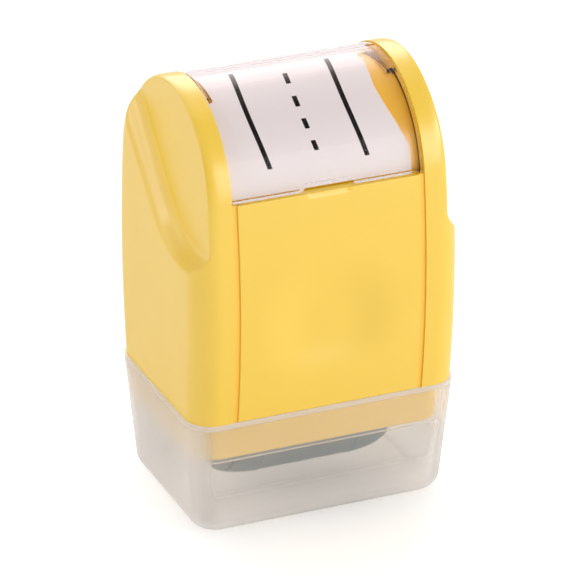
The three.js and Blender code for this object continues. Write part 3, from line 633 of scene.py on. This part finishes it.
def tongue_form(side, front, near, outer):
    """A thin edge that reaches from a cheek towards the panel, or behind it. Its outer face
    follows the side outline at a depth."""
    bm = bmesh.new()
    bmesh.ops.create_cube(bm, size=2.0)
    for vert in bm.verts:
        vert.co.x = side * (near if vert.co.x < 0 else TONGUE_FAR_X)
        vert.co.z = CHEEK_FOOT_Z if vert.co.z < 0 else PANEL_TOP_Z
    upright = [e for e in bm.edges if abs(e.verts[0].co.z - e.verts[1].co.z) > 1]
    bmesh.ops.subdivide_edges(bm, edges=upright, cuts=28, use_grid_fill=True)
    for vert in bm.verts:
        reach = face_y(vert.co.z, outer if vert.co.y < 0 else TONGUE_INNER)
        vert.co.y = -reach if front else reach
    return faced_out(bm)


# Panels

def dish_depth(x, z):
    """Depth of the thumb dish: broad below, domed above, with soft sides."""
    upper = z > DISH_Z
    power, height = (2.3, DISH_HIGH) if upper else (3.0, DISH_LOW)
    share = ((abs(x) / DISH_X) ** power + (abs(z - DISH_Z) / height) ** power) ** (1 / power)
    return DISH_DEPTH * eased((1 - share) / DISH_SIDE)


def scoop_depth(x, z):
    """Depth of the small nail scoop at the top of the front panel."""
    across = eased((NOTCH_NARROW - abs(x)) / SCOOP_SIDE)
    return SCOOP_DEPTH * across * eased((z - PANEL_TOP_Z + SCOOP_HEIGHT) / SCOOP_HEIGHT)


def panel_form(front):
    """A bowed panel with a thumb dish, and a step behind each side edge. The front one
    has a nail scoop too."""
    def place(across, up):
        x = PANEL_X * (2 * across - 1)
        z = CHEEK_FOOT_Z + (PANEL_TOP_Z - CHEEK_FOOT_Z) * up
        return (x, dish_depth(x, z) + front * scoop_depth(x, z) - face_y(z), z)

    bm = moved_grid(96, 112, place)
    outside = bm.faces[:]
    made = bmesh.ops.extrude_face_region(bm, geom=outside)
    for vert in (v for v in made["geom"] if isinstance(v, bmesh.types.BMVert)):
        stepped = abs(vert.co.x) > STEP_X
        vert.co.y = STEP_THICKNESS - face_y(vert.co.z) if stepped else -PANEL_INNER_Y
    if not front:
        bmesh.ops.scale(bm, vec=(1, -1, 1), verts=bm.verts)
    return faced_out(bm)


# Window, card and bed

def notch_height(x):
    """Height of the nail notch in the window's front edge."""
    return NOTCH_HEIGHT * held((NOTCH_WIDE - abs(x)) / (NOTCH_WIDE - NOTCH_NARROW), 0.0, 1.0)


def window_form():
    """A hood spun over the arch, with level ends, a nail notch, and a tab on each side."""
    section = [
        (-WINDOW_X, WINDOW_INNER), (-WINDOW_X, WINDOW_OUTER),
        (WINDOW_X, WINDOW_OUTER), (WINDOW_X, WINDOW_INNER)]
    bm = spun(section, ARCH_Z, math.radians(-85), math.radians(85), 100)
    cut(bm, (0, 0, WINDOW_END_Z), (0, 0, 1), keep_back=False)
    for x in (-TAB_X, -NOTCH_WIDE, -NOTCH_NARROW, NOTCH_NARROW, NOTCH_WIDE, TAB_X):
        cut(bm, (x, 0, 0), (1, 0, 0))
    for vert in bm.verts:
        radius, angle = arc_place(vert, ARCH_Z)
        end = math.acos((WINDOW_END_Z - ARCH_Z) / radius)
        above = (end - angle) * radius
        if above < NOTCH_PULL:
            raised = notch_height(vert.co.x) * (1 - above / NOTCH_PULL)
            turn_to(vert, ARCH_Z, angle - raised / radius)
    for side in (-1, 1):
        tab = []
        for face in bm.faces:
            middle = face.calc_center_median()
            radius = math.hypot(middle.y, middle.z - ARCH_Z)
            angle = math.atan2(middle.y, middle.z - ARCH_Z)
            inside = radius < WINDOW_INNER + 0.05 and abs(angle) < TAB_ANGLE
            if inside and TAB_X < side * middle.x:
                tab.append(face)
        made = bmesh.ops.extrude_face_region(bm, geom=tab)
        verts = [v for v in made["geom"] if isinstance(v, bmesh.types.BMVert)]
        share = TAB_INNER / WINDOW_INNER
        about = Matrix.Translation((0, 0, -ARCH_Z))
        bmesh.ops.scale(bm, vec=(1, share, share), space=about, verts=verts)
    return faced_out(bm)


def card_right_x(angle):
    """Right-hand edge of the card, which is trimmed to a shallow waist over the top."""
    turn = abs(math.degrees(angle))
    for (near, first), (far, second) in zip(CARD_TRIM, CARD_TRIM[1:]):
        if turn <= far:
            return first + (second - first) * (turn - near) / (far - near)
    return CARD_X


def card_left_x(angle):
    """Left-hand edge of the card, which is cut back beside the window's tab."""
    cut_back = eased((SLOT_ANGLE + 0.06 - abs(angle)) / 0.05)
    return CARD_LEFT_X + (-CARD_X - CARD_LEFT_X) * cut_back


def card_form():
    """The thin card, bent over the bed."""
    section = [
        (-CARD_X, CARD_INNER), (-CARD_X, CARD_OUTER), (CARD_X, CARD_OUTER), (CARD_X, CARD_INNER)]
    bm = spun(section, ARCH_Z, -CARD_END, CARD_END, 160)
    for vert in bm.verts:
        angle = arc_place(vert, ARCH_Z)[1]
        vert.co.x = card_right_x(angle) if vert.co.x > 0 else card_left_x(angle)
    return bm


def line_form(x, first, last):
    """A line printed on the card from one angle to another, with a slight bow. Its ink
    stands just proud of the card."""
    near, far, foot, top = x - PRINT_HALF, x + PRINT_HALF, CARD_OUTER - 0.05, CARD_OUTER + 0.012
    section = [(near, foot), (near, top), (far, top), (far, foot)]
    bm = spun(section, ARCH_Z, math.radians(first), math.radians(last), round(last - first))
    for vert in bm.verts:
        along = (math.degrees(arc_place(vert, ARCH_Z)[1]) + 3) / 70
        vert.co.x += PRINT_DRIFT * along - PRINT_BOW * math.sin(math.pi * along)
    return bm


def bed_form():
    """The arched bed under the card, with a leg down the front and back, and a pocket on
    each side for a tab of the window."""
    section = [
        (-BED_X, BED_INNER), (-BED_X, BED_OUTER), (BED_X, BED_OUTER), (BED_X, BED_INNER)]
    bm = spun(section, ARCH_Z, -math.pi / 2, math.pi / 2, 90)
    ends = [f for f in bm.faces if abs(f.calc_center_median().z - ARCH_Z) < 0.01]
    made = bmesh.ops.extrude_face_region(bm, geom=ends)
    for vert in (v for v in made["geom"] if isinstance(v, bmesh.types.BMVert)):
        vert.co.z = BED_FOOT_Z
    for angle in (-SLOT_ANGLE - 0.005, -SLOT_ANGLE, SLOT_ANGLE, SLOT_ANGLE + 0.005):
        cut(bm, (0, 0, ARCH_Z), (0, math.cos(angle), math.sin(angle)))
    for vert in bm.verts:
        if vert.co.z > ARCH_Z and abs(arc_place(vert, ARCH_Z)[1]) < SLOT_ANGLE + 0.002:
            vert.co.x = held(vert.co.x, -SLOT_X, SLOT_X)
    for side in (-1, 1):
        pocket = [
            (side * POCKET_X, POCKET_INNER), (side * POCKET_X, POCKET_OUTER),
            (side * BED_X, POCKET_OUTER), (side * BED_X, POCKET_INNER)]
        join(bm, spun(pocket, ARCH_Z, -POCKET_ANGLE, POCKET_ANGLE, 14))
    return faced_out(bm)


# Chassis and cap

def rounded_box(half_x, half_y, low, high, corner, draft=0.0):
    """A box with round upright corners, narrower below by its draft."""
    bm = bmesh.new()
    bmesh.ops.create_cube(bm, size=2.0)
    for vert in bm.verts:
        less = draft if vert.co.z < 0 else 0.0
        vert.co.x *= half_x - less
        vert.co.y *= half_y - less
        vert.co.z = low if vert.co.z < 0 else high
    upright = [e for e in bm.edges if abs(e.verts[0].co.z - e.verts[1].co.z) > 1]
    bmesh.ops.bevel(
        bm, geom=upright, offset=corner, offset_type="OFFSET", affect="EDGES", segments=14,
        profile=0.5, material=-1)
    return bm


def level_faces(bm, z):
    """The faces that lie flat at a height."""
    return [f for f in bm.faces if all(abs(v.co.z - z) < 0.01 for v in f.verts)]


def chassis_form():
    """A sleeve with round corners, closed by a deck on top and open below."""
    bm = rounded_box(CHASSIS_X, CHASSIS_Y, CHASSIS_FOOT_Z, CHASSIS_TOP_Z, CHASSIS_CORNER)
    bmesh.ops.delete(bm, geom=level_faces(bm, CHASSIS_FOOT_Z), context="FACES_ONLY")
    bmesh.ops.recalc_face_normals(bm, faces=bm.faces)
    bmesh.ops.solidify(bm, geom=bm.faces[:], thickness=CHASSIS_WALL)
    return faced_out(bm)


def cap_form():
    """A drafted box with round corners and a round foot, open on top. Its wall is thicker
    below the ledge on which the collar rests, and a pip on each side grips the collar."""
    bm = rounded_box(CAP_X, CAP_Y, 0.0, CAP_Z, CAP_CORNER, CAP_DRAFT)
    foot = {e for f in level_faces(bm, 0.0) for e in f.edges}
    bmesh.ops.bevel(
        bm, geom=list(foot), offset=CAP_FOOT, offset_type="OFFSET", affect="EDGES", segments=10,
        profile=0.5, material=-1)
    bmesh.ops.delete(bm, geom=level_faces(bm, CAP_Z), context="FACES_ONLY")
    bmesh.ops.recalc_face_normals(bm, faces=bm.faces)
    bmesh.ops.solidify(bm, geom=bm.faces[:], thickness=CAP_WALL)
    for z in (SEAT_Z, SEAT_Z - 0.05):
        cut(bm, (0, 0, z), (0, 0, 1))
    faced_out(bm)
    bm.normal_update()
    inside = [
        (vert, vert.normal.copy()) for vert in bm.verts
        if vert.co.z < SEAT_Z - 0.02 and vert.normal.dot((vert.co.x, vert.co.y, 0)) < 0]
    for vert, normal in inside:
        vert.co.x += SEAT_WIDTH * normal.x
        vert.co.y += SEAT_WIDTH * normal.y
    wall_x = CAP_X - CAP_DRAFT * (1 - PIP_Z / CAP_Z) - CAP_WALL
    for side in (-1, 1):
        pip = bmesh.new()
        bmesh.ops.create_uvsphere(pip, u_segments=24, v_segments=12, radius=1.0)
        bmesh.ops.scale(pip, vec=(PIP_HEIGHT, PIP_RADIUS, PIP_RADIUS), verts=pip.verts)
        bmesh.ops.translate(pip, vec=(side * wall_x, 0, PIP_Z), verts=pip.verts)
        join(bm, pip)
    return bm


# Rollers

def band_form():
    """The stamp's rubber band, with a raised line round it on each side and a ring of
    raised dashes in the middle."""
    flare = LINE_HALF + LINE_FLARE
    taper = []
    for share in steps_between(0.0, 1.0, 8):
        taper.append((TAPER_X + (BAND_X - TAPER_X) * share, BAND_OUTER - TAPER_DROP * share ** 2))
    section = [(-BAND_X, BAND_INNER)] + [(-x, radius) for x, radius in reversed(taper)]
    for x in (-LINE_X, LINE_X):
        section += [(x - flare, BAND_OUTER), (x - LINE_HALF, LINE_OUTER)]
        section += [(x + LINE_HALF, LINE_OUTER), (x + flare, BAND_OUTER)]
    section += taper + [(BAND_X, BAND_INNER)]
    bm = spun(section, AXLE_Z, 0.0, math.tau, 128)
    dash = [
        (-flare, DASH_INNER), (-LINE_HALF, LINE_OUTER), (LINE_HALF, LINE_OUTER),
        (flare, DASH_INNER)]
    reach = DASH_SHARE * math.pi / DASHES
    for middle in steps_between(0.0, math.tau, DASHES)[:-1]:
        join(bm, spun(dash, AXLE_Z, middle - reach, middle + reach, 6))
    return bm


def core_form():
    """A spool: hub, web and a sleeve that carries the band."""
    half = [
        (BAND_X, BORE), (BAND_X, HUB_OUTER), (WEB_X, HUB_OUTER), (WEB_X, SPOOL_INNER),
        (BAND_X, SPOOL_INNER), (BAND_X, SPOOL_OUTER)]
    section = [(-x, radius) for x, radius in half] + half[::-1]
    return spun(section, AXLE_Z, 0.0, math.tau, 96)


def end_cap_form(side):
    """A disc with a round outer edge."""
    section = [(side * END_CAP_X, BORE), (side * END_CAP_X, END_CAP_OUTER)]
    for turn in steps_between(0.0, math.pi / 2, 8):
        x = END_CAP_FAR_X - END_CAP_EDGE * (1 - math.sin(turn))
        section.append((side * x, END_CAP_OUTER - END_CAP_EDGE * (1 - math.cos(turn))))
    section.append((side * END_CAP_FAR_X, BORE))
    return spun(section, AXLE_Z, 0.0, math.tau, 96)


def fine_copy(node):
    """A copy of a CAD node's form, with its loose triangles merged."""
    bm = bmesh.new()
    bm.from_mesh(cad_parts[node].data)
    bmesh.ops.scale(bm, vec=(1 / MM, 1 / MM, 1 / MM), verts=bm.verts)
    bmesh.ops.remove_doubles(bm, verts=bm.verts, dist=0.001)
    bmesh.ops.dissolve_limit(bm, angle_limit=0.002, verts=bm.verts, edges=bm.edges)
    return bm


# Studio

def make_camera():
    """A long lens to the left of the front and above it."""
    azimuth, elevation, distance = math.radians(-22.97), math.radians(25.48), 747.4
    away = Vector((
        math.sin(azimuth) * math.cos(elevation),
        -math.cos(azimuth) * math.cos(elevation),
        math.sin(elevation)))
    lens = bpy.data.cameras.new("camera")
    lens.angle = 2 * math.atan(288 / 4552)
    lens.clip_start = 0.01
    camera = bpy.data.objects.new("camera", lens)
    bpy.context.scene.collection.objects.link(camera)
    camera.location = (Vector((0.156, 0, 34.4)) + away * distance) * MM
    camera.rotation_euler = (-away).to_track_quat("-Z", "Y").to_euler()
    bpy.context.scene.camera = camera


def paper_white():
    """Matt white background paper."""
    material, tree = new_material("matt_white_paper")
    place = add(tree, "ShaderNodeTexCoord").outputs["Object"]
    fibre = add(tree, "ShaderNodeTexNoise", {"Vector": place, "Scale": every(30), "Detail": 3.0})
    colour = add(tree, "ShaderNodeMix", {
        0: fibre.outputs["Fac"], 6: linear("#f6f6f6"), 7: linear("#f8f8f8")}, data_type="RGBA")
    shader = add(tree, "ShaderNodeBsdfPrincipled", {
        "Base Color": colour.outputs[2], "Roughness": 0.9, "Specular IOR Level": 0.2})
    # What the camera sees is lifted to plain white, and keeps the shadow.
    path = add(tree, "ShaderNodeLightPath")
    seen = add(tree, "ShaderNodeMath", {
        0: path.outputs["Is Camera Ray"], 1: path.outputs["Is Transmission Ray"]},
        operation="MAXIMUM")
    lift = add(tree, "ShaderNodeMath", {
        0: seen.outputs["Value"], 1: FLOOR_LIFT}, operation="MULTIPLY")
    glow = add(tree, "ShaderNodeEmission", {
        "Color": linear("#ffffff"), "Strength": lift.outputs["Value"]})
    both = add(tree, "ShaderNodeAddShader", {
        0: shader.outputs["BSDF"], 1: glow.outputs["Emission"]})
    add(tree, "ShaderNodeOutputMaterial", {"Surface": both.outputs["Shader"]})
    return material


def make_floor():
    """A sheet of paper under the object."""
    bm = bmesh.new()
    bmesh.ops.create_grid(bm, x_segments=8, y_segments=8, size=2.0)
    mesh = bpy.data.meshes.new("floor")
    bm.to_mesh(mesh)
    bm.free()
    mesh.materials.append(paper_white())
    floor = bpy.data.objects.new("floor", mesh)
    bpy.context.scene.collection.objects.link(floor)


def make_world():
    """A pale grey room. The camera, and clear plastic, see it white."""
    world = bpy.data.worlds.new("studio")
    world.use_nodes = True
    bpy.context.scene.world = world
    tree = world.node_tree
    tree.nodes.clear()
    lit = add(tree, "ShaderNodeBackground", {"Color": linear("#ffffff"), "Strength": 0.5})
    seen = add(tree, "ShaderNodeBackground", {"Color": linear("#ffffff"), "Strength": 1.0})
    path = add(tree, "ShaderNodeLightPath")
    through = add(tree, "ShaderNodeMath", {
        0: path.outputs["Is Camera Ray"], 1: path.outputs["Is Transmission Ray"]},
        operation="MAXIMUM")
    both = add(tree, "ShaderNodeMixShader", {
        0: through.outputs["Value"], 1: lit.outputs["Background"], 2: seen.outputs["Background"]})
    add(tree, "ShaderNodeOutputWorld", {"Surface": both.outputs["Shader"]})


def softbox(name, azimuth, elevation, size, power):
    """A square lamp that faces the object. The azimuth runs from the front to the right.
    The angles are in degrees and the size in metres."""
    light = bpy.data.lights.new(name, "AREA")
    light.size = size
    light.energy = power
    lamp = bpy.data.objects.new(name, light)
    bpy.context.scene.collection.objects.link(lamp)
    across, up = math.radians(azimuth), math.radians(elevation)
    away = Vector((math.sin(across) * math.cos(up), -math.cos(across) * math.cos(up), math.sin(up)))
    lamp.location = Vector((0, 0, 0.04)) + away * LAMP_DISTANCE
    lamp.rotation_euler = (-away).to_track_quat("-Z", "Y").to_euler()


# Materials of this stamp

yellow_abs = moulded_abs("moulded_yellow_abs", "#f4cb3e", "#f1c638", 0.3)
# The same yellow ABS, painted a deeper orange: painted light, standing for light bounced between
# yellow walls in the grooves and for shade under the window.
painted_bounce_light_abs = moulded_abs("moulded_yellow_abs_painted_bounce_light", "#ffca28", "#ffc220", 0.3)
white_abs = moulded_abs("moulded_white_abs", "#e8e6e1", "#e1dfd9", 0.42)
grey_abs = moulded_abs("moulded_grey_abs", "#57717f", "#4f6977", 0.42)
natural_pp = frosted_polypropylene()
clear_ps = clear_polystyrene()
white_card = coated_card()
black_ink = printing_ink()
grey_rubber = cured_rubber()
ink_foam = inked_foam()
bright_steel = drawn_steel()


# Pieces

make_camera()

for side, name in ((-1, "left_cheek"), (1, "right_cheek")):
    cheek = cheek_form(side)
    for front, facing in ((True, "front"), (False, "back")):
        join(cheek, tongue_form(side, front, TONGUE_X, TONGUE_DEPTH))
        # Each groove's floor is painted a deeper orange, as painted bounced light.
        floor = tongue_form(side, front, GROOVE_X, GROOVE_DEPTH)
        finish("%s_%s_groove" % (name, facing), floor, "housing", painted_bounce_light_abs)
    finish(name + "_shell", cheek, "housing", yellow_abs, [name], edge=0.22)

for front, name in ((True, "front_panel"), (False, "back_panel")):
    finish(
        name + "_plate", panel_form(front), "housing", yellow_abs, [name],
        edge=0.15)

finish(
    "chassis_sleeve", chassis_form(), "housing", yellow_abs, ["chassis"],
    edge=0.4)
# The bed is painted a deeper orange, as painted shade and bounced light under the window.
finish(
    "label_bed_arch", bed_form(), "housing", painted_bounce_light_abs, ["label_bed"],
    edge=0.12)
finish("label_card_sheet", card_form(), "housing", white_card, ["label_card"])
finish(
    "window_hood_shell", window_form(), "window", clear_ps, ["window_hood"],
    edge=0.1)
finish(
    "cap_box", cap_form(), "cap", natural_pp, ["cap"], edge=0.2, segments=3)

for number, (x, first, last) in enumerate(PRINTED_LINES, 1):
    line = line_form(x, first, last)
    finish("printed_line_%d" % number, line, "housing", black_ink)

finish(
    "stamp_band_rubber", band_form(), "print_roller", grey_rubber,
    ["stamp_band"])
finish(
    "roller_core_spool", core_form(), "print_roller", grey_abs,
    ["roller_core"], edge=0.15)
for side, name in ((-1, "left_roller_end_cap"), (1, "right_roller_end_cap")):
    finish(name + "_disc", end_cap_form(side), "print_roller", grey_abs, [name])

small_pieces = [
    ("housing", white_abs, "white_plastic", [
        "left_cartridge_plate", "right_cartridge_plate", "front_cartridge_lip",
        "back_cartridge_lip", "ink_tank"]),
    ("housing", grey_rubber, "grey_rubber", ["refill_plug"]),
    ("housing", bright_steel, "steel", [
        "front_tie_rod", "back_tie_rod", "ink_roller_axle", "roller_axle",
        "left_axle_clip", "right_axle_clip"]),
    ("print_roller", white_abs, "white_plastic", ["left_roller_bush", "right_roller_bush"]),
    ("ink_roller", ink_foam, "ink_foam", ["ink_foam_sleeve"]),
    ("ink_roller", white_abs, "white_plastic", ["ink_roller_core"]),
]
for body, material, slot, nodes in small_pieces:
    for node in nodes:
        finish(node + "_eased", fine_copy(node), body, material, [node], edge=0.1)

make_floor()
make_world()
softbox("left_lamp", -88, 38, 0.45, 2.2)
softbox("left_wall", -112, 24, 1.0, 3.2)
softbox("front_lamp", 30, 16, 0.8, 6.1)
softbox("right_lamp", 60, 20, 0.5, 4.6)
softbox("back_lamp", 160, 30, 0.9, 7.5)
softbox("high_lamp", 180, 62, 1.3, 3.6)
bpy.context.scene.view_settings.view_transform = "Standard"
